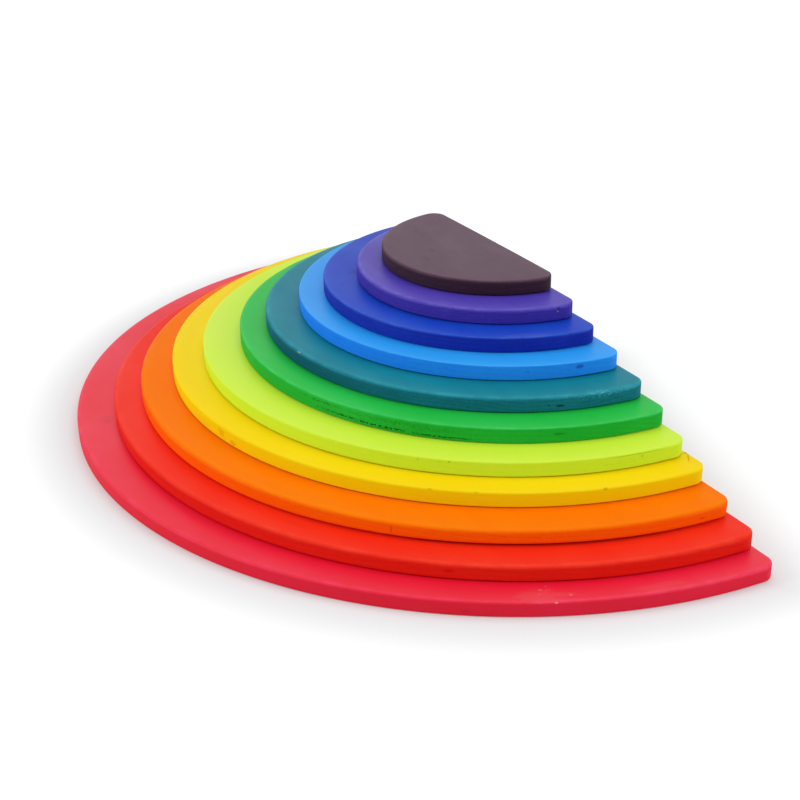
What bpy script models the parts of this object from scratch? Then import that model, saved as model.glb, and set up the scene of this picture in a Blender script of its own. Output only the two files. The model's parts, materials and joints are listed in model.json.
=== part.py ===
"""Rainbow stacker: loose half-round wooden boards, stained in rainbow colours.

The boards are cut from one thin plank stock, so they share a thickness, and
each radius is about 13.5 mm less than the one before, as closely as a hand
saw keeps to it. They lie flat on each other, largest at the bottom, with their
straight sides roughly in one line. Nothing holds them together but their
weight, so each board lifts straight off.

Units are metres. +X runs along the straight sides, the round sides face -Y,
and +Z is up. The origin is in the middle of the footprint, on the table.
"""

import math

import bpy

MM = 0.001

# The plank stock that all the boards are cut from
board_thickness = 6.0 * MM

# Sanding: the two plan corners of a board, and the arris all round its faces
corner_radius = 6.0 * MM
arris_radius = 1.0 * MM

# Air between two boards that lie loose on each other
resting_gap = 0.3 * MM

# How finely the round shapes are cut up
arc_chord_error = 0.07 * MM
corner_segments = 5
arris_segments = 2
weld_distance = 0.02 * MM
sharp_rim_angle = math.radians(60.0)

# The radius of each board
crimson_radius = 182.0 * MM
red_radius = 167.5 * MM
orange_radius = 155.0 * MM
yellow_radius = 141.5 * MM
lime_radius = 128.0 * MM
green_radius = 113.5 * MM
teal_radius = 101.5 * MM
sky_blue_radius = 86.5 * MM
blue_radius = 74.0 * MM
violet_radius = 59.5 * MM
aubergine_radius = 47.5 * MM

# How far each board's centre was laid to the right and to the back of the bottom board's
crimson_shift = (0.0 * MM, 0.0 * MM)
red_shift = (3.0 * MM, 0.5 * MM)
orange_shift = (2.0 * MM, 0.0 * MM)
yellow_shift = (0.0 * MM, 1.0 * MM)
lime_shift = (2.5 * MM, 0.0 * MM)
green_shift = (3.5 * MM, 1.0 * MM)
teal_shift = (2.5 * MM, 0.5 * MM)
sky_blue_shift = (2.5 * MM, 0.0 * MM)
blue_shift = (2.0 * MM, -2.0 * MM)
violet_shift = (3.5 * MM, -3.0 * MM)
aubergine_shift = (0.5 * MM, -3.0 * MM)

# Every board from the bottom up: its name, its radius, its stain and its shift
BOARDS = (
    ("board_01_crimson", crimson_radius, (0.760, 0.026, 0.044), crimson_shift),
    ("board_02_red", red_radius, (0.870, 0.030, 0.012), red_shift),
    ("board_03_orange", orange_radius, (0.950, 0.185, 0.003), orange_shift),
    ("board_04_yellow", yellow_radius, (0.900, 0.680, 0.010), yellow_shift),
    ("board_05_lime", lime_radius, (0.560, 0.800, 0.050), lime_shift),
    ("board_06_green", green_radius, (0.012, 0.460, 0.060), green_shift),
    ("board_07_teal", teal_radius, (0.014, 0.210, 0.280), teal_shift),
    ("board_08_sky_blue", sky_blue_radius, (0.035, 0.330, 0.850), sky_blue_shift),
    ("board_09_blue", blue_radius, (0.016, 0.060, 0.480), blue_shift),
    ("board_10_violet", violet_radius, (0.085, 0.060, 0.420), violet_shift),
    ("board_11_aubergine", aubergine_radius, (0.100, 0.058, 0.078), aubergine_shift),
)
stain_roughness = 0.5


def clear_scene():
    for obj in list(bpy.data.objects):
        bpy.data.objects.remove(obj)


def stained_wood(name, colour):
    """Satin water stain on close-grained wood."""
    material = bpy.data.materials.new(name + "_stain")
    material.use_nodes = True
    shader = material.node_tree.nodes["Principled BSDF"]
    shader.inputs["Base Color"].default_value = (*colour, 1.0)
    shader.inputs["Roughness"].default_value = stain_roughness
    shader.inputs["Metallic"].default_value = 0.0
    return material


def arc(centre, radius, start, end, segments):
    """Points on an arc about centre, from angle start to angle end, both included."""
    angles = [start + (end - start) * i / segments for i in range(segments + 1)]
    return [
        (centre[0] + radius * math.cos(a), centre[1] + radius * math.sin(a))
        for a in angles
    ]


def corner_centre_x(radius):
    """How far out the corner's small arc is centred, so that it touches the big one."""
    return math.sqrt((radius - corner_radius) ** 2 - corner_radius**2)


def half_width(radius):
    return corner_centre_x(radius) + corner_radius


def half_round_outline(radius):
    """A half disc's outline, clockwise from the right end of its straight side.

    The straight side lies on y = 0 and the arc's centre is at the origin. Each
    corner is a small arc that touches the straight side and the big arc.
    """
    corner_x = corner_centre_x(radius)
    touch = math.asin(corner_radius / (radius - corner_radius))
    chord_angle = 2.0 * math.acos(1.0 - arc_chord_error / radius)
    arc_segments = 2 * math.ceil((math.pi / 2 - touch) / chord_angle)
    right = arc((corner_x, -corner_radius), corner_radius, math.pi / 2, -touch, corner_segments)
    big = arc((0.0, 0.0), radius, -touch, touch - math.pi, arc_segments)
    left = arc(
        (-corner_x, -corner_radius), corner_radius, math.pi + touch, math.pi / 2, corner_segments
    )
    return right[:-1] + big + left[1:]


def board(name, radius, colour, collection):
    """One flat board with its arrises sanded round; its origin is the arc's centre."""
    curve = bpy.data.curves.new(name, "CURVE")
    curve.dimensions = "2D"
    curve.fill_mode = "BOTH"
    curve.extrude = board_thickness / 2
    outline = half_round_outline(radius)
    spline = curve.splines.new("POLY")
    spline.points.add(len(outline) - 1)
    for point, (x, y) in zip(spline.points, outline):
        point.co = (x, y, 0.0, 1.0)
    spline.use_cyclic_u = True
    curve.materials.append(stained_wood(name, colour))

    obj = bpy.data.objects.new(name, curve)
    weld = obj.modifiers.new("Join the faces to the edge", "WELD")
    weld.merge_threshold = weld_distance
    bevel = obj.modifiers.new("Sanded arris", "BEVEL")
    bevel.width = arris_radius
    bevel.segments = arris_segments
    bevel.limit_method = "ANGLE"
    bevel.angle_limit = sharp_rim_angle
    collection.objects.link(obj)
    return obj


def main():
    clear_scene()
    collection = bpy.data.collections.new("rainbow_stacker")
    bpy.context.scene.collection.children.link(collection)

    # The footprint of the whole stack is centred on the origin
    right_edge = max(shift[0] + half_width(radius) for _, radius, _, shift in BOARDS)
    left_edge = min(shift[0] - half_width(radius) for _, radius, _, shift in BOARDS)
    back_edge = max(shift[1] for _, _, _, shift in BOARDS)
    front_edge = min(shift[1] - radius for _, radius, _, shift in BOARDS)
    stack = bpy.data.objects.new("stack", None)
    stack.location = (-(left_edge + right_edge) / 2, -(front_edge + back_edge) / 2, 0.0)
    collection.objects.link(stack)

    level_height = board_thickness + resting_gap
    for level, (name, radius, colour, shift) in enumerate(BOARDS):
        obj = board(name, radius, colour, collection)
        obj.parent = stack
        obj.location = (shift[0], shift[1], level * level_height + board_thickness / 2)


main()
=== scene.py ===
# %% [markdown]
# # A rainbow stacker of loose half-round boards
#
# Eleven thin boards of close-grained lime wood are cut as half discs, soaked in
# water stain and stacked by hand, largest first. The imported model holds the
# plain boards at their true size. This lesson loads it as a fixed frame and
# gives each board the surface it has on the real toy: sanded arrises that are
# never quite even, a faint growth figure, darker sawn edges, and a few knots,
# pores and scuffs.

# %% The frame
import json
import math

import bpy
import numpy as np
from mathutils import Matrix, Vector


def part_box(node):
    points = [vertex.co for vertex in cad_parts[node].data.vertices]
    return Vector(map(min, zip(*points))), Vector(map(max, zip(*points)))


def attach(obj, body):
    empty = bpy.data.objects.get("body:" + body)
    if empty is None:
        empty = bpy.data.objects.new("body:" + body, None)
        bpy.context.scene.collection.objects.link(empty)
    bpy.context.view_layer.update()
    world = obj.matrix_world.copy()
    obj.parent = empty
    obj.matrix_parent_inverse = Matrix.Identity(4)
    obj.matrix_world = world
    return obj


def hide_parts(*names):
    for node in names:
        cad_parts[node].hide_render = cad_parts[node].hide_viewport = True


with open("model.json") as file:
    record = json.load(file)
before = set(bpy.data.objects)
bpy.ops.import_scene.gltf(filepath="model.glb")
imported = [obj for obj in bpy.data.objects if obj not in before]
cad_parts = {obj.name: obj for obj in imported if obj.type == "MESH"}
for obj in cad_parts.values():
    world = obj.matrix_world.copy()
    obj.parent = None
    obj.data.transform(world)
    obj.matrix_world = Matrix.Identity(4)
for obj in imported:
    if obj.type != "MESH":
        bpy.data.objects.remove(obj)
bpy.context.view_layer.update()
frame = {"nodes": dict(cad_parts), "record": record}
MM = 0.001

# %% [markdown]
# ## The photograph's viewpoint
#
# The toy was photographed from the right end of its straight sides, from about
# 0.6 m away and 25 degrees above the table. A camera can be placed by eye, but
# the rims of the boards are circles of known size, so where they cross the
# picture fixes the lens and the place of the camera. The values below are the
# ones that put all the rims back where the photograph shows them.

# %% Camera
camera_place = (0.50765, -0.23647, 0.28116)
camera_bearing = math.radians(61.290)
camera_tilt = math.radians(25.462)
camera_roll = math.radians(-0.725)
sensor_width_mm = 36.0
focal_in_picture_widths = 1.877


def make_camera():
    """A level camera turned to its bearing, tipped down, then rolled about its own axis."""
    data = bpy.data.cameras.new("photo_camera")
    data.sensor_fit = "HORIZONTAL"
    data.sensor_width = sensor_width_mm
    data.lens = sensor_width_mm * focal_in_picture_widths
    data.clip_start = 0.01
    data.dof.use_dof = False
    camera = bpy.data.objects.new("photo_camera", data)
    turn = Matrix.Rotation(camera_bearing, 4, "Z")
    tip = Matrix.Rotation(math.pi / 2 - camera_tilt, 4, "X")
    roll = Matrix.Rotation(camera_roll, 4, "Z")
    camera.matrix_world = Matrix.Translation(camera_place) @ turn @ tip @ roll
    bpy.context.scene.collection.objects.link(camera)
    bpy.context.scene.camera = camera
    return camera


camera = make_camera()
print("camera lens:", round(camera.data.lens, 1), "mm")

# %% [markdown]
# ## Reading the boards back from the frame
#
# Every size of a board can be had from its box: the depth is the radius, the
# top of the box in Y is the straight side, and the middle in X is the arc's
# centre. Working from the box keeps the fine surface exactly where the packed
# solid is, also if a size changes there.

# %% Boards
corner_radius = 6.0 * MM


class Board:
    """The sizes of one half-round board, in the frame's coordinates."""

    def __init__(self, node):
        low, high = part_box(node)
        self.node = node
        self.radius = high[1] - low[1]
        self.centre = np.array([(low[0] + high[0]) / 2, high[1]])
        self.bottom = low[2]
        self.top = high[2]


boards = [Board(node) for node in sorted(frame["nodes"])]
for board in boards:
    print(board.node, "radius", round(board.radius / MM, 1), "mm")

# %% [markdown]
# ## Where things are on a board
#
# A place on a board is given the way a maker would: the bearing round the arc
# in degrees (0 is the right-hand corner, 90 the middle of the round side, 180
# the left-hand corner), how far in from the arc, and how far down from the top
# face.

# %% Places on a board


def place_on(board, bearing, inset=0.0, drop=0.0):
    """The point at a bearing round the arc, inset from it, and dropped below the top face."""
    angle = -math.radians(bearing)
    reach = board.radius - inset
    return (
        board.centre[0] + reach * math.cos(angle),
        board.centre[1] + reach * math.sin(angle),
        board.top - drop,
    )


front_of_largest = place_on(boards[0], 90.0)
print("front of the largest board:", [round(value / MM, 1) for value in front_of_largest], "mm")

# %% [markdown]
# ## The outline of a half-round board
#
# The outline is four pieces end to end: the straight side, a small corner arc,
# the big arc and the other corner arc. A polygon with a Bevel would do, but
# points spaced evenly along the true curve, each with its outward direction,
# let the arris and the hand-sanded unevenness be carried along it. The corners
# turn fastest, so their points lie closer together.

# %% Outline
column_spacing = 0.9 * MM
corner_crowding = 3


def evenly(start, end, length):
    """Numbers from start up to, but not including, end, a column spacing apart along length."""
    count = max(4, int(math.ceil(length / column_spacing)))
    return start + (end - start) * np.arange(count) / count


def outline_of(radius):
    """Points on the outline, and the outward direction at each, anticlockwise from the right corner.

    The corner arcs touch the line y = 0 and the big arc: their centres lie
    corner_radius below the line, at the distance radius - corner_radius from
    the big arc's centre.
    """
    corner_x = math.sqrt((radius - corner_radius) ** 2 - corner_radius**2)
    touch = math.asin(corner_radius / (radius - corner_radius))
    corner_length = corner_crowding * corner_radius * (math.pi / 2 + touch)

    def arc(centre_x, centre_y, r, angles):
        out = np.stack([np.cos(angles), np.sin(angles)], axis=1)
        return np.array([centre_x, centre_y]) + r * out, out

    right_angles = evenly(-touch, math.pi / 2, corner_length)
    left_angles = evenly(math.pi / 2, math.pi + touch, corner_length)
    big_angles = evenly(math.pi + touch, 2 * math.pi - touch, math.pi * radius)
    right = arc(corner_x, -corner_radius, corner_radius, right_angles)
    left = arc(-corner_x, -corner_radius, corner_radius, left_angles)
    big = arc(0.0, 0.0, radius, big_angles)
    straight_x = evenly(corner_x, -corner_x, 2 * corner_x)
    straight = np.stack([straight_x, np.zeros_like(straight_x)], axis=1)
    back = np.tile([0.0, 1.0], (len(straight_x), 1))
    points = np.concatenate([right[0], straight, left[0], big[0]])
    outward = np.concatenate([right[1], back, left[1], big[1]])
    return points, outward


points, outward = outline_of(boards[0].radius)
print("largest outline has", len(points), "columns")

# %% [markdown]
# ## Unevenness from the hand
#
# A board that was sawn and sanded by hand has an outline that wanders by up to
# a tenth of a millimetre, and arrises that are rounder in some places. A
# Displace modifier with a noise texture would also move the flat faces. A few
# sine waves with random phases round the outline touch only what they should,
# and close on themselves. A board only ever loses wood, so all goes inward.

# %% Wandering


def wander(turns, seed, waves, falloff=1.0):
    """A smooth closed curve between 0 and 1: sines of 1 to waves cycles a turn, each cycle count
    weaker than the last by the falloff power, with phases from the seed."""
    rng = np.random.default_rng(seed)
    cycles = np.arange(1, waves + 1)
    strength = cycles ** (-falloff) * rng.uniform(0.4, 1.0, waves)
    phase = rng.uniform(0.0, 2 * math.pi, waves)
    total = (strength * np.sin(2 * math.pi * turns[..., None] * cycles + phase)).sum(axis=-1)
    return 0.5 + 0.5 * total / strength.sum()


quarter_turns = np.linspace(0.0, 1.0, 5)
print("one wandering line at each quarter turn:", wander(quarter_turns, 1, 6).round(2))

# %% [markdown]
# ## The surface of a board
#
# One grid covers the whole board. Its columns follow the outline. Its rows go
# from the middle of the underside out to the edge, round the lower arris, up
# the side, round the upper arris and back to the middle of the top. The rows on
# the faces are the outline shrunk towards one point, closer together near the
# edge, where light shows every dip. Both ends of the grid close in one point.

# %% Rows of the surface
face_rows = 16
face_row_crowding = 1.7
arris_rows = 6
side_rows = 11


def surface_rows():
    """Four columns of numbers, one row of the surface after another: s, the shrink towards the
    middle (1 at the edge); t, the turn round an arris (0 on a face, a quarter turn on the side);
    the share of the side's height; and whether the row is in the upper half."""
    shrink = 1.0 - np.linspace(0.0, 1.0, face_rows, endpoint=False)[1:] ** face_row_crowding
    quarter = np.linspace(0.0, math.pi / 2, arris_rows + 1)
    upright = np.linspace(0.0, 1.0, side_rows + 1)[1:-1]
    s = np.concatenate([shrink[::-1], np.ones(2 * len(quarter) + len(upright)), shrink])
    t = np.concatenate(
        [0 * shrink, quarter, np.full(len(upright), math.pi / 2), quarter[::-1], 0 * shrink]
    )
    rise = np.concatenate([0 * shrink, 0 * quarter, upright, 0 * quarter + 1, 0 * shrink + 1])
    upper = np.arange(len(s)) >= len(s) / 2
    return s[:, None], t[:, None], rise[:, None], upper[:, None]


print("a board is one grid of", len(surface_rows()[0]), "rows")

# %% [markdown]
# ## The arrises
#
# An arris is the edge where a face meets the side. On the real boards the round
# side was sanded by hand, more in some places than in others, a little more at
# the two corners, and hardly at all along the straight sawn side. A Bevel
# modifier would give one radius all round. Here the radius is a curve along the
# outline instead.

# %% Arrises
arris_spread = 0.35
arris_waves = 26
arris_falloff = 0.5
straight_side_arris = 0.3
corner_extra = 0.25 * MM
corner_reach = 14 * MM


def arris_radii(board, seed, upper_radius, lower_radius, outline, outward, turns):
    """The radius of the upper and of the lower arris at each point of the outline. Both wander,
    are finer along the straight side, and grow by exp(-d*d) at d reaches from a corner."""
    share = 1.0 - (1.0 - straight_side_arris) * np.clip(outward[:, 1], 0.0, 1.0)
    from_end = np.clip(board.radius - corner_radius - np.abs(outline[:, 0]), 0.0, None)
    from_back = np.clip(-outline[:, 1] - corner_radius, 0.0, None)
    extra = corner_extra * np.exp(-(from_end**2 + from_back**2) / corner_reach**2)
    lower_spread = 1.0 + arris_spread * (wander(turns, seed, arris_waves, arris_falloff) - 0.5)
    upper_spread = 1.0 + arris_spread * (wander(turns, seed + 1, arris_waves, arris_falloff) - 0.5)
    return upper_radius * share * upper_spread + extra, lower_radius * share * lower_spread + extra


print("arrises vary by", round(50 * arris_spread, 1), "% either way")

# %% Board surface
outline_wander = 0.08 * MM
outline_waves = 14
outline_falloff = 0.8
middle_share = 0.45
face_wander = 0.05 * MM
swell_length = 31 * MM
swell_width = 23 * MM
rim_fall = 0.09 * MM
rim_fall_width = 3.5 * MM
underside_share = 0.3
# width and fall-off of the paler band along the upper rim: real wear and a painted highlight
wear_and_highlight_width = 0.6 * MM
wear_and_highlight_power = 6


def board_grid(board, seed, upper_radius, lower_radius, dents):
    """Points, and three measures per point, on the rows and columns of a board.

    On an arris of radius a, at the turn t, a point lies a(1 - sin t) inside the
    outline and a(1 - cos t) from the face. On a face, the rows are the edge
    shrunk by s towards the middle, with a dip of two crossed sines and a fall
    towards the rim. The measures say how near a point is to the upper rim, how
    far it is on the side, and how squarely the fibres are cut there.
    """
    outline, outward = outline_of(board.radius)
    steps = np.linalg.norm(np.roll(outline, -1, axis=0) - outline, axis=1)
    turns = np.concatenate([[0.0], np.cumsum(steps)[:-1]]) / steps.sum()
    s, t, rise, upper = surface_rows()
    upper_arris, lower_arris = arris_radii(
        board, seed, upper_radius, lower_radius, outline, outward, turns
    )
    a = np.where(upper, upper_arris, lower_arris)
    lost = outline_wander * wander(turns, seed + 2, outline_waves, outline_falloff)

    thickness = board.top - board.bottom
    inset = lost + a * (1.0 - np.sin(t))
    edge = outline[None] - inset[..., None] * outward[None]
    middle = np.array([0.0, -middle_share * board.radius])
    flat = middle + s[..., None] * (edge - middle)

    from_face = a * (1.0 - np.cos(t))
    from_rim = (1.0 - s) * np.linalg.norm(outline - middle, axis=1)[None]
    swell = np.sin(flat[..., 0] / swell_length + seed) * np.sin(flat[..., 1] / swell_width)
    dip = face_wander * (0.5 + 0.5 * swell)
    dip = dip + rim_fall * np.exp(-from_rim / rim_fall_width)
    side_height = lower_arris + (thickness - lower_arris - upper_arris) * rise
    upper_height = np.where(rise >= 1, thickness - from_face, side_height)
    height = np.where(rise <= 0, from_face, upper_height)
    lowered = height - dip * np.cos(t)
    raised = height + underside_share * dip * np.cos(t)
    height = np.where(upper, lowered, raised)

    grid = np.empty(flat.shape[:2] + (3,))
    grid[..., :2] = board.centre + flat
    grid[..., 2] = board.bottom + height
    facing = np.empty_like(grid)
    facing[..., :2] = outward[None] * np.sin(t)[..., None]
    facing[..., 2] = np.where(upper, 1.0, -1.0) * np.cos(t)
    for hollow in dents:
        grid = grid - facing * dent_depth(board, grid, **hollow)[..., None]

    # rim marks the band along the upper arris that the stain pales, for wear and a painted highlight
    rim = np.where(upper, np.exp(-from_rim / wear_and_highlight_width), 0.0) * (1.0 - np.sin(t) ** wear_and_highlight_power)
    measures = {
        "rim": np.broadcast_to(rim, height.shape),
        "side": np.broadcast_to(np.sin(t) ** 2, height.shape),
        "end_grain": np.broadcast_to(np.abs(outward[:, 0])[None] * np.sin(t), height.shape),
    }
    return grid, measures


print("a face dips by up to", round((face_wander + rim_fall) / MM, 2), "mm")

# %% [markdown]
# ## Dents
#
# Three boards have a small knock on the rim, and the orange one is slightly
# hollow along its lower edge, which leaves a dark seam under it. Sculpting would
# do for one look, but a hollow with a formula keeps its place if a size changes.

# %% Dents


def dent(bearing, inset, drop, size, depth):
    """One dent: its place on a board, its sizes along the rim, inward and down, and its depth, all
    in millimetres."""
    sizes = [part * MM for part in size]
    return dict(bearing=bearing, inset=inset * MM, drop=drop * MM, size=sizes, depth=depth * MM)


def dent_depth(board, grid, bearing, inset, drop, size, depth):
    """A smooth hollow: depth times exp(-d*d), with d the distance from the dent's middle measured
    in its sizes along the rim, inward and downward."""
    flat = grid[..., :2] - board.centre
    angle = np.degrees(np.arctan2(-flat[..., 1], flat[..., 0]))
    reach = np.linalg.norm(flat, axis=-1)
    along = np.radians(angle - bearing) * board.radius / size[0]
    inward = (board.radius - reach - inset) / size[1]
    down = (board.top - grid[..., 2] - drop) / size[2]
    return depth * np.exp(-(along**2) - inward**2 - down**2)


print("a 2 mm wide dent is stored as", dent(90.0, 0.0, 0.0, (2.0, 2.0, 2.0), 0.3)["size"])

# %% [markdown]
# ## From a grid to a mesh
#
# Blender keeps a mesh as flat lists: the points, the corners of the faces one
# face after another, and where each face starts. numpy works out whole lists at
# once and foreach_set hands each over in one go, which is far quicker than
# adding faces one by one. The measures go along as attributes, so that the
# material can tell a rim from a side.

# %% Mesh


def grid_mesh(name, grid, measures):
    """A closed mesh from a grid whose columns join up, with one point at each end of its rows."""
    rows, columns = grid.shape[:2]
    first = grid[0].mean(axis=0)
    last = grid[-1].mean(axis=0)
    points = np.concatenate([grid.reshape(-1, 3), [first, last]])
    row = np.arange(rows - 1)[:, None] * columns
    here = np.arange(columns)[None]
    after = (here + 1) % columns
    quads = np.stack([row + here, row + after, row + columns + after, row + columns + here], axis=-1)
    quads = quads.reshape(-1, 4)
    start_pole, end_pole = rows * columns, rows * columns + 1
    top_row = (rows - 1) * columns
    start_fan = np.stack([0 * here[0] + start_pole, after[0], here[0]], axis=-1)
    end_fan = np.stack([0 * here[0] + end_pole, top_row + here[0], top_row + after[0]], axis=-1)

    corners = np.concatenate([quads.ravel(), start_fan.ravel(), end_fan.ravel()]).astype(np.int32)
    sizes = np.concatenate([np.full(len(quads), 4), np.full(2 * columns, 3)])
    starts = np.concatenate([[0], np.cumsum(sizes)[:-1]]).astype(np.int32)
    mesh = bpy.data.meshes.new(name)
    mesh.vertices.add(len(points))
    mesh.vertices.foreach_set("co", points.astype(np.float32).ravel())
    mesh.loops.add(len(corners))
    mesh.loops.foreach_set("vertex_index", corners)
    mesh.polygons.add(len(sizes))
    mesh.polygons.foreach_set("loop_start", starts)
    for label, values in measures.items():
        attribute = mesh.attributes.new(label, "FLOAT", "POINT")
        padded = np.concatenate([values.ravel(), [0.0, 0.0]]).astype(np.float32)
        attribute.data.foreach_set("value", padded)
    mesh.update(calc_edges=True)
    mesh.validate()
    mesh.shade_smooth()
    return mesh


print("ready to mesh", len(boards), "boards")

# %% [markdown]
# ## Shader groups
#
# The boards are alike in everything but their stain, so what they share is built
# once as node groups and placed in each board's material with its own values. A
# stain works like a colour filter: where more of it soaked in, light passes it
# more often. So the groups put out a stain depth, and the colour is the stain
# raised to that power, which makes it darker and richer at once.

# %% Helpers for node groups


def new_group(name, inputs, outputs):
    """A shader node group with its sockets, and its own input and output nodes."""
    group = bpy.data.node_groups.new(name, "ShaderNodeTree")
    for label, kind, value in inputs:
        socket = group.interface.new_socket(label, in_out="INPUT", socket_type=kind)
        if value is not None:
            socket.default_value = value
    for label, kind in outputs:
        group.interface.new_socket(label, in_out="OUTPUT", socket_type=kind)
    entry = group.nodes.new("NodeGroupInput")
    leave = group.nodes.new("NodeGroupOutput")
    return group, entry, leave


class Wiring:
    """Adds nodes to a tree and joins them: each call returns the socket that the next one takes."""

    def __init__(self, tree):
        self.tree = tree

    def plug(self, value, socket):
        """Joins a socket, or sets a plain value; None leaves what the node has."""
        if isinstance(value, bpy.types.NodeSocket):
            self.tree.links.new(value, socket)
        elif value is not None:
            socket.default_value = value

    def math(self, operation, first, second=None, third=None, clamp=False):
        node = self.tree.nodes.new("ShaderNodeMath")
        node.operation = operation
        node.use_clamp = clamp
        for value, socket in zip((first, second, third), node.inputs):
            self.plug(value, socket)
        return node.outputs[0]

    def vector(self, operation, first, second=None):
        node = self.tree.nodes.new("ShaderNodeVectorMath")
        node.operation = operation
        self.plug(first, node.inputs[0])
        self.plug(second, node.inputs[1])
        return node.outputs["Value" if operation in ("LENGTH", "DOT_PRODUCT") else "Vector"]

    def noise(self, vector, scale, detail=3.0, roughness=0.5, distortion=0.0):
        node = self.tree.nodes.new("ShaderNodeTexNoise")
        self.plug(vector, node.inputs["Vector"])
        self.plug(scale, node.inputs["Scale"])
        self.plug(detail, node.inputs["Detail"])
        self.plug(roughness, node.inputs["Roughness"])
        self.plug(distortion, node.inputs["Distortion"])
        return node.outputs["Fac"]

    def ramp(self, value, low, high, to_low=0.0, to_high=1.0):
        """An S-shaped rise from to_low at low to to_high at high."""
        node = self.tree.nodes.new("ShaderNodeMapRange")
        node.interpolation_type = "SMOOTHSTEP"
        for item, socket in zip((value, low, high, to_low, to_high), node.inputs):
            self.plug(item, socket)
        return node.outputs["Result"]

    def mapping(self, vector, location=(0, 0, 0), rotation=(0, 0, 0), scale=(1, 1, 1), kind="POINT"):
        node = self.tree.nodes.new("ShaderNodeMapping")
        node.vector_type = kind
        self.plug(vector, node.inputs["Vector"])
        self.plug(location, node.inputs["Location"])
        self.plug(rotation, node.inputs["Rotation"])
        self.plug(scale, node.inputs["Scale"])
        return node.outputs["Vector"]

    def mix_colour(self, amount, first, second):
        """Two colours mixed. The Mix node names its sockets A, B and Result once for each kind of
        value, so those for colours are picked by number."""
        node = self.tree.nodes.new("ShaderNodeMix")
        node.data_type = "RGBA"
        self.plug(amount, node.inputs["Factor"])
        self.plug(first, node.inputs[6])
        self.plug(second, node.inputs[7])
        return node.outputs[2]

    def group(self, group, **values):
        """A group placed in the tree; in the inputs' names, spaces are written as underscores."""
        node = self.tree.nodes.new("ShaderNodeGroup")
        node.node_tree = group
        for label, value in values.items():
            self.plug(value, node.inputs[label.replace("_", " ")])
        return node.outputs


print("node helpers ready")

# %% [markdown]
# ## Growth figure
#
# A trunk is a stack of cones, near enough cylinders about its pith. These boards
# are flat-sawn far from the pith, so the rings lie almost level in them: broad
# faint shapes on the faces, faint level lines on the sides. Making the rings in
# three dimensions gets both at once: distance from a line parallel to the grain,
# bent by slow noise, cut into rings whose outer part is denser. Fine fibres
# are noise drawn out along the grain.

# %% Growth figure group
figure_shift = (13.0, 7.0, 5.0)
ring_bend = 7.0 * MM
bend_scale = 22.0
late_wood_start = 0.35
late_wood_full = 0.90
late_wood_end = 0.92
fibre_scale = 900.0
along_grain = 0.08
bend_along_grain = 0.3


def make_figure_group():
    """Masks of the rings and the fibres. The ring number is the distance from the pith, bent by
    noise, over the ring width; the dense late wood is where its fraction nears one."""
    group, entry, leave = new_group(
        "growth_figure",
        [
            ("Vector", "NodeSocketVector", None),
            ("Ring Width", "NodeSocketFloat", 1.5 * MM),
            ("Seed", "NodeSocketFloat", 0.0),
        ],
        [("Ring", "NodeSocketFloat"), ("Fibre", "NodeSocketFloat")],
    )
    wire = Wiring(group)
    place = entry.outputs["Vector"]
    shift = wire.vector("MULTIPLY", figure_shift, entry.outputs["Seed"])
    drawn_out = wire.mapping(place, scale=(bend_along_grain, 1.0, 1.0))
    slow = wire.noise(wire.vector("ADD", drawn_out, shift), bend_scale, 3.0, 0.5)
    across = wire.vector("LENGTH", wire.mapping(place, scale=(0.0, 1.0, 1.0)))
    bent = wire.math("MULTIPLY_ADD", slow, ring_bend, across)
    number = wire.math("DIVIDE", bent, entry.outputs["Ring Width"])
    part = wire.math("FRACT", number)
    late = wire.ramp(part, late_wood_start, late_wood_full)
    ring = wire.math("MULTIPLY", late, wire.ramp(part, 1.0, late_wood_end))
    fibre_space = wire.vector("ADD", wire.mapping(place, scale=(along_grain, 1.0, 1.0)), shift)
    fibre = wire.noise(fibre_space, fibre_scale, 3.0, 0.6)
    wire.plug(ring, leave.inputs["Ring"])
    wire.plug(fibre, leave.inputs["Fibre"])
    return group


figure_group = make_figure_group()
print("growth figure:", len(figure_group.nodes), "nodes")

# %% [markdown]
# ## How stain takes
#
# Lime wood drinks stain unevenly: broad soft patches, and dark lines where the
# rings meet a side. Towards the two ends, where the fibres are cut across, some
# boards came out paler. Handling wears the stain thin along the upper arris, and
# that paler band also serves as a painted highlight on the arris. Painting that by
# hand would take a picture for each board, so it is worked out from noise and from
# the three measures that each mesh carries.

# %% Stain depth group
stain_shift = (3.1, 4.7, 2.3)
patch_along_grain = 0.6
patch_scale = 30.0
small_patch_scale = 190.0
small_patch_share = 0.3
ring_on_face = 0.02
ring_more_on_side = 0.05
fibre_on_face = 0.06
fibre_more_on_side = 0.17
# noise that breaks up the paler arris band of wear and painted highlight
wear_and_highlight_noise_scale = 140.0
wear_and_highlight_noise_from = 0.36
wear_and_highlight_noise_to = 0.66
wear_and_highlight_least = 0.25


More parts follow.
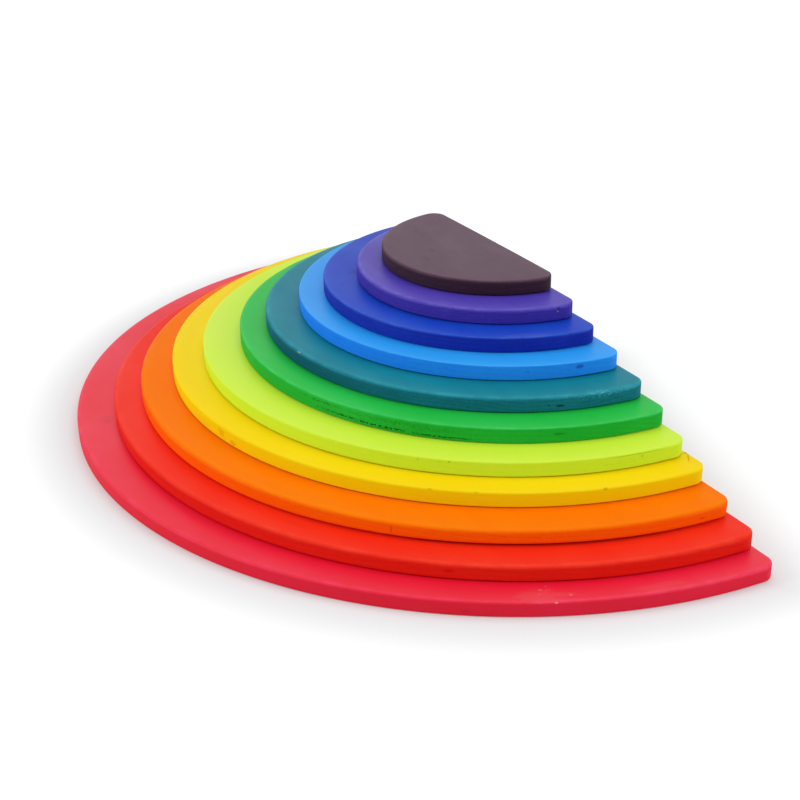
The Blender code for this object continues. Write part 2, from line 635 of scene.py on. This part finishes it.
def make_stain_group():
    """Stain depth about 1. Depth = 1 + patches + rings + fibres - wear - end fade, each times its
    amount: the rings and fibres count for more on the sides. The wear term pales a band along the
    upper arris, which is real wear and a painted highlight at once."""
    group, entry, leave = new_group(
        "stain_depth",
        [
            ("Vector", "NodeSocketVector", None),
            ("Seed", "NodeSocketFloat", 0.0),
            ("Ring", "NodeSocketFloat", 0.0),
            ("Fibre", "NodeSocketFloat", 0.5),
            ("Rim", "NodeSocketFloat", 0.0),
            ("Side", "NodeSocketFloat", 0.0),
            ("End Grain", "NodeSocketFloat", 0.0),
            ("Patch Amount", "NodeSocketFloat", 0.2),
            ("Wear Amount", "NodeSocketFloat", 0.2),
            ("End Fade", "NodeSocketFloat", 0.0),
        ],
        [("Depth", "NodeSocketFloat"), ("Patch", "NodeSocketFloat")],
    )
    wire = Wiring(group)
    get = entry.outputs
    shift = wire.vector("MULTIPLY", stain_shift, get["Seed"])
    place = wire.vector("ADD", get["Vector"], shift)
    streaky = wire.mapping(place, scale=(patch_along_grain, 1.0, 1.0))
    broad = wire.noise(streaky, patch_scale, 3.0, 0.5, 0.3)
    small = wire.noise(streaky, small_patch_scale, 3.0, 0.55)
    small_part = wire.math("MULTIPLY_ADD", small, small_patch_share, -small_patch_share / 2)
    patch = wire.math("ADD", wire.math("SUBTRACT", broad, 0.5), small_part)
    depth = wire.math("MULTIPLY_ADD", patch, get["Patch Amount"], 1.0)
    ring_amount = wire.math("MULTIPLY_ADD", get["Side"], ring_more_on_side, ring_on_face)
    depth = wire.math("MULTIPLY_ADD", get["Ring"], ring_amount, depth)
    fibre_amount = wire.math("MULTIPLY_ADD", get["Side"], fibre_more_on_side, fibre_on_face)
    depth = wire.math("MULTIPLY_ADD", wire.math("SUBTRACT", get["Fibre"], 0.5), fibre_amount, depth)
    # the band along the upper rim is paled, broken up by noise: real wear and a painted highlight
    wear_and_highlight_noise = wire.noise(place, wear_and_highlight_noise_scale, 4.0, 0.65)
    rubbed = wire.ramp(wear_and_highlight_noise, wear_and_highlight_noise_from, wear_and_highlight_noise_to, wear_and_highlight_least, 1.0)
    wear_and_highlight = wire.math("MULTIPLY", get["Rim"], rubbed)
    depth = wire.math("SUBTRACT", depth, wire.math("MULTIPLY", wear_and_highlight, get["Wear Amount"]))
    depth = wire.math("SUBTRACT", depth, wire.math("MULTIPLY", get["End Grain"], get["End Fade"]))
    wire.plug(depth, leave.inputs["Depth"])
    wire.plug(wire.math("ADD", patch, 0.5), leave.inputs["Patch"])
    return group


stain_group = make_stain_group()
print("stain depth:", len(stain_group.nodes), "nodes")

# %% [markdown]
# ## Knots, pores and scuffs
#
# A toy that has been played with carries a few marks of its own: pin knots and
# rows of open pores in the sides, a scratch, rubbed places, chips along the
# rims. One grey patch on the crimson board is painted shade at the red board's
# foot. They could be painted on a picture, but each is only a soft-edged spot at
# a known place, so it is made as one: a unit ball, stretched and turned to lie
# along the rim, with a ragged edge from noise. Pores are that spot, broken up
# into specks.

# %% Mark group
mark_shift = (3.7, 1.9, 5.3)
mark_edge_scale = 1.6
mark_core = 0.35
pore_scale = 1500.0
pore_shape = (0.75, 0.75, 1.25)
pore_threshold = 0.62
threshold_drop = 0.14
pore_softness = 0.09
least_pores = 0.01


def make_mark_group():
    """A mask that falls from 1 inside a unit ball to 0 at its surface, its edge moved by noise.
    Where Pores is above 0, only the specks of a finer noise are left of it, more for more pores."""
    group, entry, leave = new_group(
        "mark",
        [
            ("Vector", "NodeSocketVector", None),
            ("Place", "NodeSocketVector", None),
            ("Ragged", "NodeSocketFloat", 0.5),
            ("Pores", "NodeSocketFloat", 0.0),
            ("Seed", "NodeSocketFloat", 0.0),
        ],
        [("Mask", "NodeSocketFloat")],
    )
    wire = Wiring(group)
    get = entry.outputs
    shift = wire.vector("MULTIPLY", mark_shift, get["Seed"])
    shifted = wire.vector("ADD", get["Vector"], shift)
    rough_edge = wire.math("SUBTRACT", wire.noise(shifted, mark_edge_scale, 4.0, 0.65), 0.5)
    distance = wire.vector("LENGTH", get["Vector"])
    distance = wire.math("MULTIPLY_ADD", rough_edge, wire.math("MULTIPLY", get["Ragged"], 2.0), distance)
    spot = wire.ramp(distance, 1.0, mark_core)
    level = wire.mapping(get["Place"], scale=pore_shape)
    threshold = wire.math("MULTIPLY_ADD", get["Pores"], -threshold_drop, pore_threshold)
    grains = wire.noise(level, pore_scale, 2.0, 0.5)
    specks = wire.ramp(grains, threshold, wire.math("ADD", threshold, pore_softness))
    kept = wire.math("MAXIMUM", specks, wire.math("LESS_THAN", get["Pores"], least_pores))
    wire.plug(wire.math("MULTIPLY", spot, kept), leave.inputs["Mask"])
    return group


mark_group = make_mark_group()
print("mark:", len(mark_group.nodes), "nodes")

# %% Kinds of mark
knot_depth = 2.0
pore_row_depth = 9.0
scuff_depth = 1.5
scratch_half_width = 0.35
scratch_depth = 1.0


def mark(
    bearing, inset, drop, half_sizes,
    turn=0.0, grime_and_shade=0.0, bare=0.0, soaked=0.0, sunk=0.0, ragged=0.5, pores=0.0,
):
    """One mark: its place on a board, its half sizes along the rim, inward and down in millimetres,
    and how much darkening (dirt, and in one place painted shade), bare wood, extra stain and hollow
    (in millimetres) it brings."""
    return dict(
        bearing=bearing, inset=inset * MM, drop=drop * MM, half_sizes=[size * MM for size in half_sizes],
        turn=turn, grime_and_shade=grime_and_shade, bare=bare, soaked=soaked, sunk=sunk, ragged=ragged, pores=pores,
    )


def knot(bearing, drop, length, height, grime_and_shade=0.5, soaked=0.8):
    """A pin knot or dark fleck in a side."""
    half_sizes = (length / 2, knot_depth, height / 2)
    return mark(bearing, 0.0, drop, half_sizes, grime_and_shade=grime_and_shade, soaked=soaked, sunk=0.06)


def pore_row(bearing, drop, length, height, soaked, pores=0.6):
    """Open pores along a growth line in a side, where stain gathered. Without pores, a plain line."""
    half_sizes = (length / 2, pore_row_depth, height / 2)
    return mark(bearing, 0.0, drop, half_sizes, soaked=soaked, sunk=0.05 * soaked, ragged=0.15, pores=pores)


def speckle(bearing, drop, length, height, lost):
    """Paler specks in a side, where the ends of the fibres took less stain."""
    half_sizes = (length / 2, pore_row_depth, height / 2)
    return mark(bearing, 0.0, drop, half_sizes, soaked=-lost, ragged=0.3, pores=0.8)


def smudge_and_shade(bearing, inset, drop, length, width, grime_and_shade):
    """A greyish place where something rubbed off on the board; on the crimson board one is painted
    shade at the red board's foot.
    """
    return mark(bearing, inset, drop, (length / 2, width / 2, width / 2), grime_and_shade=grime_and_shade, ragged=0.8)


def scuff(bearing, inset, length, width, bare):
    """A rubbed place on a face, where the stain has gone thin."""
    return mark(bearing, inset, 0.0, (length / 2, width / 2, scuff_depth), bare=bare, ragged=1.0)


def chip(bearing, inset, drop, length, width, bare):
    """A knock that took off stain and a little wood."""
    return mark(bearing, inset, drop, (length / 2, width / 2, width / 2), bare=bare, sunk=0.15)


def scratch(bearing, inset, length, turn, grime_and_shade):
    """A thin dark scratch on a face, turned by degrees from the line of the rim."""
    half_sizes = (length / 2, scratch_half_width, scratch_depth)
    return mark(bearing, inset, 0.0, half_sizes, turn=turn, grime_and_shade=grime_and_shade, soaked=0.8, sunk=0.1, ragged=0.3)


print("a 4 mm knot has the half sizes", knot(10.0, 3.0, 4.0, 1.0)["half_sizes"], "in metres")

# %% Marks and dents on each board
# bearings in degrees and lengths in millimetres, then how strong the mark is
MARKS = {
    "board_01_crimson": (
        scuff(27.5, 4.0, 26.0, 9.0, 0.035),
        scuff(14.0, 4.0, 26.0, 6.0, 0.02),
        chip(26.9, 9.8, 0.0, 1.2, 0.8, 0.18),
        chip(27.6, 7.7, 0.0, 1.7, 1.2, 0.14),
        chip(27.8, 5.0, 0.0, 1.4, 1.2, 0.10),
        chip(24.4, 4.0, 0.0, 2.2, 1.6, 0.18),
        chip(26.1, 0.3, 0.4, 1.9, 1.1, 0.35),
        smudge_and_shade(20.0, 0.2, 0.2, 2.2, 1.2, 0.28),
        # painted shade: a broad grey patch on the crimson top at the red board's foot, where shade falls
        smudge_and_shade(105.3, 12.3, 0.0, 13.0, 6.0, 0.10),
        smudge_and_shade(35.7, 0.0, 4.0, 5.0, 2.0, 0.15),
    ),
    "board_02_red": (knot(38.7, 2.9, 5.5, 1.6, 0.04, 0.35), smudge_and_shade(60.0, 8.0, 0.0, 16.0, 5.0, 0.06)),
    "board_03_orange": (
        mark(46.6, 0.0, 3.0, (0.5, 1.5, 2.2), grime_and_shade=0.3),
        knot(5.2, 3.3, 3.6, 0.8, 0.1, 0.4),
        pore_row(30.0, 2.6, 40.0, 1.2, 0.3),
    ),
    "board_04_yellow": (
        scratch(0.9, 10.0, 9.5, 57.0, 0.25),
        smudge_and_shade(0.3, 13.2, 0.0, 2.6, 1.6, 0.6),
        smudge_and_shade(17.2, 0.3, 0.6, 2.6, 1.3, 0.32),
        smudge_and_shade(42.5, 0.2, 0.4, 2.6, 1.0, 0.25),
        smudge_and_shade(35.8, 0.2, 0.4, 2.6, 1.0, 0.2),
        mark(81.6, 0.0, 3.0, (3.0, 2.0, 2.0), grime_and_shade=0.10, soaked=0.4, ragged=0.8),
        mark(78.5, 0.0, 4.6, (2.5, 1.3, 1.3), grime_and_shade=0.14, soaked=0.6, ragged=0.8),
        smudge_and_shade(88.0, 0.0, 4.0, 20.0, 4.0, 0.06),
        chip(88.8, 0.3, 0.2, 2.4, 1.4, 0.4),
        pore_row(38.0, 4.4, 46.0, 1.4, 0.4),
    ),
    "board_05_lime": (
        knot(9.1, 2.0, 1.6, 0.8, 0.2, 0.6),
        knot(46.0, 1.2, 1.0, 0.7, 0.25),
        knot(40.8, 1.0, 1.2, 0.8, 0.25),
        pore_row(42.5, 1.3, 12.0, 0.7, 0.8),
        pore_row(12.0, 3.4, 34.0, 1.0, 0.5, 0.9),
        pore_row(10.0, 0.8, 34.0, 0.5, 1.1, 0.0),
        pore_row(13.0, 2.3, 30.0, 0.5, 0.9, 0.1),
    ),
    "board_06_green": (
        pore_row(71.0, 1.7, 24.0, 1.2, 2.3, 0.6),
        pore_row(66.0, 4.4, 34.0, 1.2, 2.2, 0.9),
        pore_row(56.0, 4.8, 34.0, 1.1, 2.3, 1.2),
        pore_row(44.0, 5.0, 30.0, 0.9, 1.8, 1.2),
        pore_row(52.0, 2.2, 60.0, 3.0, 0.45, 0.8),
        knot(22.6, 2.7, 5.5, 1.1, 0.12, 0.4),
        speckle(50.0, 1.6, 60.0, 3.0, 0.12),
    ),
    "board_07_teal": (
        knot(20.4, 3.9, 4.4, 0.9, 0.05, 0.9),
        knot(22.8, 3.6, 1.6, 0.6, 0.05, 0.6),
        pore_row(12.0, 3.8, 26.0, 2.4, 0.15),
        speckle(12.0, 1.4, 34.0, 4.0, 0.22),
        chip(85.2, 0.4, 0.3, 3.5, 1.2, 0.25),
    ),
    "board_08_sky_blue": (
        knot(12.6, 2.2, 4.4, 2.0, 0.45, 0.2),
        knot(26.0, 2.6, 1.8, 1.0, 0.15, 0.0),
        knot(46.6, 2.3, 2.0, 1.2, 0.20, 0.0),
    ),
    # blue: a broad grey patch 13 mm in from the rim, close to the violet board's foot
    "board_09_blue": (smudge_and_shade(118.4, 13.0, 0.0, 9.0, 6.0, 0.2), scuff(24.0, 2.0, 26.0, 5.0, 0.02)),
    "board_10_violet": (
        knot(8.9, 1.1, 2.0, 1.2, 0.3, 0.7),
        chip(9.2, 0.0, 2.1, 1.4, 0.8, 0.25),
        smudge_and_shade(52.9, 0.3, 0.6, 3.0, 1.2, 0.5),
    ),
    "board_11_aubergine": (
        smudge_and_shade(140.5, 12.2, 0.0, 5.0, 3.0, 0.25),
        smudge_and_shade(98.3, 18.9, 0.0, 5.0, 3.0, 0.2),
        smudge_and_shade(82.9, 12.0, 0.0, 7.0, 2.6, 0.2),
        smudge_and_shade(70.0, 28.6, 0.0, 3.5, 1.6, 0.25),
        smudge_and_shade(55.5, 15.7, 0.0, 5.0, 3.0, 0.15),
    ),
}
DENTS = {
    "board_01_crimson": (dent(27.5, 2.5, 0.0, (6.0, 3.0, 2.0), 0.25),),
    "board_03_orange": (dent(28.0, 0.0, 6.0, (85.0, 20.0, 0.8), 0.8),),
    "board_04_yellow": (dent(88.8, 0.5, 0.5, (4.0, 2.0, 2.0), 0.3),),
    "board_10_violet": (dent(52.9, 0.5, 0.5, (2.5, 2.0, 2.0), 0.3),),
}
print("marks in all:", sum(len(marks) for marks in MARKS.values()))

# %% [markdown]
# ## The stained wood material
#
# A board has one stain colour on its faces and a deeper one on its sawn sides.
# The colour goes through a Gamma node whose exponent is the stain depth, then the
# marks go over it, and the result into a satin Principled surface, duller under
# dirt marks and under the painted shade patch. The fibres stand up about a
# hundredth of a millimetre, and knocks are hollow: a Bump node takes those heights
# in millimetres.

# %% Laying the marks


def lay_marks(wire, board, place, marks, seed):
    """The board's marks added up: darkening from dirt and painted shade, bare wood, extra stain, and
    hollow in millimetres.
    """
    grime_and_shade, bare, soaked, hollow = 0.0, 0.0, 0.0, 0.0
    for number, item in enumerate(marks):
        middle = place_on(board, item["bearing"], item["inset"], item["drop"])
        turn = math.radians(item["turn"] - item["bearing"] - 90.0)
        local = wire.mapping(place, middle, (0.0, 0.0, turn), item["half_sizes"], "TEXTURE")
        mask = wire.group(
            mark_group, Vector=local, Place=place, Ragged=item["ragged"], Pores=item["pores"],
            Seed=seed + number,
        )["Mask"]
        grime_and_shade = wire.math("MULTIPLY_ADD", mask, item["grime_and_shade"], grime_and_shade, clamp=True)
        bare = wire.math("MULTIPLY_ADD", mask, item["bare"], bare, clamp=True)
        soaked = wire.math("MULTIPLY_ADD", mask, item["soaked"], soaked)
        hollow = wire.math("MULTIPLY_ADD", mask, item["sunk"], hollow)
    return grime_and_shade, bare, soaked, hollow


print("marks are laid one over the other")

# %% Stained wood
face_roughness = 0.40
side_roughness = 0.62
patch_roughness = 0.2
fibre_relief = 0.012
ring_relief = 0.004
# dark grey of the dirt marks, also used for the painted shade at the red board's foot
grime_and_shade_colour = (0.030, 0.022, 0.016, 1.0)
bare_colour = (0.900, 0.700, 0.560, 1.0)


def stained_wood(board, finish, seed, pith, ring_width):
    """One board's material: its stain, where its pith lies, and its own marks."""
    material = bpy.data.materials.new(board.node + "_stained")
    material.use_nodes = True
    tree = material.node_tree
    wire = Wiring(tree)
    shader = tree.nodes["Principled BSDF"]
    place = tree.nodes.new("ShaderNodeTexCoord").outputs["Object"]

    def measure(label):
        node = tree.nodes.new("ShaderNodeAttribute")
        node.attribute_name = label
        return node.outputs["Fac"]

    side = measure("side")
    from_pith = wire.vector("SUBTRACT", place, pith)
    figure = wire.group(figure_group, Vector=from_pith, Ring_Width=ring_width, Seed=seed)
    taken = wire.group(
        stain_group, Vector=place, Seed=seed, Ring=figure["Ring"], Fibre=figure["Fibre"],
        Rim=measure("rim"), Side=side, End_Grain=measure("end_grain"),
        Patch_Amount=finish["patch"], Wear_Amount=finish["wear_and_highlight"], End_Fade=finish["end_fade"],
    )
    grime_and_shade, bare, soaked, hollow = lay_marks(wire, board, place, MARKS[board.node], seed)
    stain = wire.mix_colour(side, (*finish["face"], 1.0), (*finish["edge"], 1.0))
    gamma = tree.nodes.new("ShaderNodeGamma")
    wire.plug(stain, gamma.inputs["Color"])
    wire.plug(wire.math("ADD", taken["Depth"], soaked), gamma.inputs["Gamma"])
    colour = wire.mix_colour(bare, gamma.outputs["Color"], bare_colour)
    # dirt marks and the painted shade patch grey and darken the colour here
    colour = wire.mix_colour(grime_and_shade, colour, grime_and_shade_colour)
    wire.plug(colour, shader.inputs["Base Color"])

    rough = wire.math("MULTIPLY_ADD", side, side_roughness - face_roughness, face_roughness)
    patch = wire.math("SUBTRACT", taken["Patch"], 0.5)
    rough = wire.math("MULTIPLY_ADD", patch, patch_roughness, rough)
    wire.plug(rough, shader.inputs["Roughness"])
    sheen = wire.math("MULTIPLY", wire.math("SUBTRACT", 1.0, grime_and_shade), finish["sheen_level"])
    wire.plug(sheen, shader.inputs["Specular IOR Level"])

    height = wire.math("MULTIPLY", figure["Fibre"], fibre_relief)
    height = wire.math("MULTIPLY_ADD", figure["Ring"], ring_relief, height)
    height = wire.math("SUBTRACT", height, hollow)
    bump = tree.nodes.new("ShaderNodeBump")
    bump.inputs["Strength"].default_value = 1.0
    bump.inputs["Distance"].default_value = 1.0 * MM
    wire.plug(height, bump.inputs["Height"])
    wire.plug(bump.outputs["Normal"], shader.inputs["Normal"])
    return material


print("roughness:", face_roughness, "on faces,", side_roughness, "on sides")

# %% [markdown]
# ## The boards
#
# Each board gets its stains, how round its upper and lower arrises were sanded, a
# pith of its own, and a seed for its unevenness. The piths lie far above or below
# the boards in turn, and are shuffled sideways so that no two neighbours show the
# same figure. The fine mesh replaces the imported node and rides on the same body,
# so it lifts with its slide.

# %% Stains
# wear pales the stain along the upper arris: partly real wear, partly a painted highlight there
FINISHES = {
    "board_01_crimson": dict(
        face=(0.838, 0.009, 0.039), edge=(0.822, 0.0004, 0.0265), sheen_level=0.34,
        arrises_mm=(1.2, 0.6), patch=0.40, wear_and_highlight=0.22, end_fade=0.10,
    ),
    "board_02_red": dict(
        face=(0.92, 0.0275, 0.0072), edge=(0.785, 0.014, 0.0055), sheen_level=0.11,
        arrises_mm=(1.4, 0.9), patch=0.25, wear_and_highlight=0.15, end_fade=0.0,
    ),
    "board_03_orange": dict(
        face=(0.995, 0.204, 0.0006), edge=(0.985, 0.131, 0.0008), sheen_level=0.03,
        arrises_mm=(1.5, 0.6), patch=0.15, wear_and_highlight=0.05, end_fade=0.0,
    ),
    "board_04_yellow": dict(
        face=(0.974, 0.703, 0.004), edge=(0.915, 0.692, 0.0004), sheen_level=0.06,
        arrises_mm=(0.9, 0.3), patch=0.20, wear_and_highlight=0.0, end_fade=0.0,
    ),
    "board_05_lime": dict(
        face=(0.648, 0.892, 0.041), edge=(0.637, 0.873, 0.02), sheen_level=0.27,
        arrises_mm=(0.8, 0.3), patch=0.15, wear_and_highlight=0.04, end_fade=0.0,
    ),
    "board_06_green": dict(
        face=(0.0152, 0.526, 0.061), edge=(0.0076, 0.412, 0.0310), sheen_level=0.18,
        arrises_mm=(0.7, 0.2), patch=0.30, wear_and_highlight=0.20, end_fade=0.03,
    ),
    "board_07_teal": dict(
        face=(0.0057, 0.223, 0.29), edge=(0.0012, 0.102, 0.156), sheen_level=0.12,
        arrises_mm=(1.4, 0.35), patch=0.30, wear_and_highlight=0.18, end_fade=0.28,
    ),
    "board_08_sky_blue": dict(
        face=(0.0222, 0.355, 0.925), edge=(0.0055, 0.242, 0.96), sheen_level=0.22,
        arrises_mm=(0.45, 0.2), patch=0.20, wear_and_highlight=0.08, end_fade=0.18,
    ),
    "board_09_blue": dict(
        face=(0.0067, 0.058, 0.53), edge=(0.0028, 0.0235, 0.355), sheen_level=0.16,
        arrises_mm=(0.8, 0.35), patch=0.30, wear_and_highlight=0.18, end_fade=0.0,
    ),
    "board_10_violet": dict(
        face=(0.075, 0.0448, 0.438), edge=(0.0365, 0.0225, 0.35), sheen_level=0.28,
        arrises_mm=(1.3, 0.4), patch=0.25, wear_and_highlight=0.20, end_fade=0.03,
    ),
    "board_11_aubergine": dict(
        face=(0.072, 0.022, 0.051), edge=(0.0262, 0.0062, 0.0190), sheen_level=0.23,
        arrises_mm=(1.1, 0.4), patch=0.20, wear_and_highlight=0.15, end_fade=0.0,
    ),
}
print("stains on faces and edges:", 2 * len(FINISHES))

# %% Dress each board
body_of = {node: body for body, nodes in frame["record"]["behaviour"]["bodies"].items() for node in nodes}
pith_side_step = 12 * MM
pith_distance = 520 * MM
ring_widths = (1.4 * MM, 2.1 * MM, 1.7 * MM)
first_seed = 40
seeds_apart = 10


def pith_of(board, index):
    """A point on the line along the middle of the trunk that the board was sawn from."""
    sideways = ((index * 3) % 7 - 3) * pith_side_step
    upwards = -1 if index % 2 else 1
    middle = board.centre[1] - board.radius / 2
    return (0.0, middle + sideways, board.bottom + upwards * pith_distance)


def dress(board, index):
    """The fine surface and finish of one board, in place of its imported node."""
    finish = FINISHES[board.node]
    pith = pith_of(board, index)
    seed = first_seed + seeds_apart * index
    upper_radius, lower_radius = [radius * MM for radius in finish["arrises_mm"]]
    dents = DENTS.get(board.node, ())
    grid, measures = board_grid(board, seed, upper_radius, lower_radius, dents)
    mesh = grid_mesh(board.node + "_wood", grid, measures)
    piece = bpy.data.objects.new(board.node + "_wood", mesh)
    bpy.context.scene.collection.objects.link(piece)
    mesh.materials.append(stained_wood(board, finish, float(index), pith, ring_widths[index % 3]))
    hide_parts(board.node)
    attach(piece, body_of[board.node])
    return piece


pieces = [dress(board, index) for index, board in enumerate(boards)]
print("faces in all:", sum(len(piece.data.polygons) for piece in pieces))

# %% [markdown]
# ## The white table
#
# The photograph has a white table, with only a faint shadow round the toy. A
# plain white floor would come out grey under lamps that leave the stains their
# colour. So the camera alone sees the table glow a little, least at the toy's
# foot, more from a few centimetres off, and most far away, and the shadow at
# the foot stays. Behind the toy the shaded part ends at two slanting lines that
# meet behind its middle, as its own shadow tapers towards the ends.

# %% Glow of the table
foot_glow = 0.24
open_glow = 0.50
open_distance = 34 * MM
contact_shade = 0.04
contact_distance = 6 * MM
back_shade_slope = 0.3
back_shade_start = 6 * MM
far_glow = 0.75
far_distance = 1.40


def table_glow(wire, place):
    """The glow at a place: it rises in S-shaped steps with the distance off the largest board's
    arc or, behind the toy, off the slanting lines, and is a shade lower right at the foot."""
    largest = boards[0]
    from_centre = wire.vector("SUBTRACT", place, (*largest.centre, 0.0))
    off_round = wire.math("SUBTRACT", wire.vector("LENGTH", from_centre), largest.radius)
    across = wire.math("ABSOLUTE", wire.vector("DOT_PRODUCT", from_centre, (1.0, 0.0, 0.0)))
    behind = wire.vector("DOT_PRODUCT", from_centre, (0.0, 1.0, 0.0))
    off_back = wire.math("MULTIPLY_ADD", across, back_shade_slope, behind)
    off_back = wire.math("SUBTRACT", off_back, back_shade_slope * largest.radius - back_shade_start)
    off = wire.math("MAXIMUM", off_round, off_back)
    near_part = wire.ramp(off, 0.0, open_distance, foot_glow, open_glow)
    near_part = wire.math("SUBTRACT", near_part, wire.ramp(off, 0.0, contact_distance, contact_shade, 0.0))
    far_part = wire.ramp(off, open_distance, far_distance, 0.0, far_glow - open_glow)
    return wire.math("ADD", near_part, far_part)


print("table glow:", foot_glow, "at the foot,", open_glow, "in the open,", far_glow, "far off")

# %% White table
floor_size = 12.0
floor_tint = (0.605, 0.615, 0.625)
floor_bounce = (0.72, 0.72, 0.72)


def white_table():
    """Plain white for the light that it sends on; a greyer white with the glow for the camera."""
    material = bpy.data.materials.new("white_table")
    material.use_nodes = True
    tree = material.node_tree
    tree.nodes.clear()
    wire = Wiring(tree)
    place = tree.nodes.new("ShaderNodeTexCoord").outputs["Object"]
    path = tree.nodes.new("ShaderNodeLightPath")
    shown = wire.math("MAXIMUM", path.outputs["Is Camera Ray"], path.outputs["Is Transmission Ray"])
    seen = tree.nodes.new("ShaderNodeBsdfDiffuse")
    wire.plug((*floor_tint, 1.0), seen.inputs["Color"])
    glow = tree.nodes.new("ShaderNodeEmission")
    wire.plug(table_glow(wire, place), glow.inputs["Strength"])
    both = tree.nodes.new("ShaderNodeAddShader")
    wire.plug(seen.outputs[0], both.inputs[0])
    wire.plug(glow.outputs[0], both.inputs[1])
    bounce = tree.nodes.new("ShaderNodeBsdfDiffuse")
    wire.plug((*floor_bounce, 1.0), bounce.inputs["Color"])
    mix = tree.nodes.new("ShaderNodeMixShader")
    wire.plug(shown, mix.inputs[0])
    wire.plug(bounce.outputs[0], mix.inputs[1])
    wire.plug(both.outputs[0], mix.inputs[2])
    output = tree.nodes.new("ShaderNodeOutputMaterial")
    wire.plug(mix.outputs[0], output.inputs["Surface"])
    return material


def make_floor():
    """One large square, level with the underside of the toy."""
    mesh = bpy.data.meshes.new("table_top")
    half = floor_size / 2
    corners = [(-half, -half, 0), (half, -half, 0), (half, half, 0), (-half, half, 0)]
    mesh.from_pydata(corners, [], [(0, 1, 2, 3)])
    mesh.materials.append(white_table())
    floor = bpy.data.objects.new("table_top", mesh)
    bpy.context.scene.collection.objects.link(floor)
    return floor


floor = make_floor()
print("table:", floor_size, "m wide,", len(floor.data.materials[0].node_tree.nodes), "nodes")

# %% [markdown]
# ## Sky and lamps
#
# The light in the photograph is broad and soft, mostly from above. The sides
# that face the camera are a little darker than those to its left and right, so
# two more soft lamps stand there, low down. The sky is white to the camera and
# in reflections, and gives a lower, even fill to everything else.

# %% Sky and lamps
fill_level = 0.44


def around(bearing, elevation, distance):
    """A place at a bearing round the toy, as on a board, and an angle above the table."""
    flat = distance * math.cos(math.radians(elevation))
    angle = -math.radians(bearing)
    return (flat * math.cos(angle), flat * math.sin(angle), distance * math.sin(math.radians(elevation)))


# each lamp: its name, its place, its width in metres and its power in watts
LAMPS = (
    ("overhead_softbox", around(-90.0, 80.0, 1.38), 1.3, 6.8),
    ("left_softbox", around(108.0, 22.0, 1.7), 0.8, 11.5),
    ("right_softbox", around(-38.0, 22.0, 1.7), 0.8, 7.9),
)


def make_sky():
    """White to the camera and to reflections, and fill_level to all other light paths."""
    world = bpy.data.worlds.new("studio")
    bpy.context.scene.world = world
    world.use_nodes = True
    tree = world.node_tree
    wire = Wiring(tree)
    path = tree.nodes.new("ShaderNodeLightPath")
    shown = wire.math("MAXIMUM", path.outputs["Is Camera Ray"], path.outputs["Is Glossy Ray"])
    shown = wire.math("MAXIMUM", shown, path.outputs["Is Transmission Ray"])
    background = tree.nodes["Background"]
    wire.plug((1.0, 1.0, 1.0, 1.0), background.inputs["Color"])
    strength = wire.math("MULTIPLY_ADD", shown, 1.0 - fill_level, fill_level)
    wire.plug(strength, background.inputs["Strength"])


def make_lamp(name, place, size, power):
    """A square soft lamp aimed at the middle of the toy."""
    data = bpy.data.lights.new(name, "AREA")
    data.shape = "SQUARE"
    data.size = size
    data.energy = power
    lamp = bpy.data.objects.new(name, data)
    away = Matrix.Translation(place).translation
    lamp.matrix_world = Matrix.Translation(place) @ away.to_track_quat("Z", "Y").to_matrix().to_4x4()
    bpy.context.scene.collection.objects.link(lamp)


make_sky()
for name, place, size, power in LAMPS:
    make_lamp(name, place, size, power)
bpy.context.scene.view_settings.view_transform = "Standard"
print("stage ready,", len(LAMPS), "lamps")
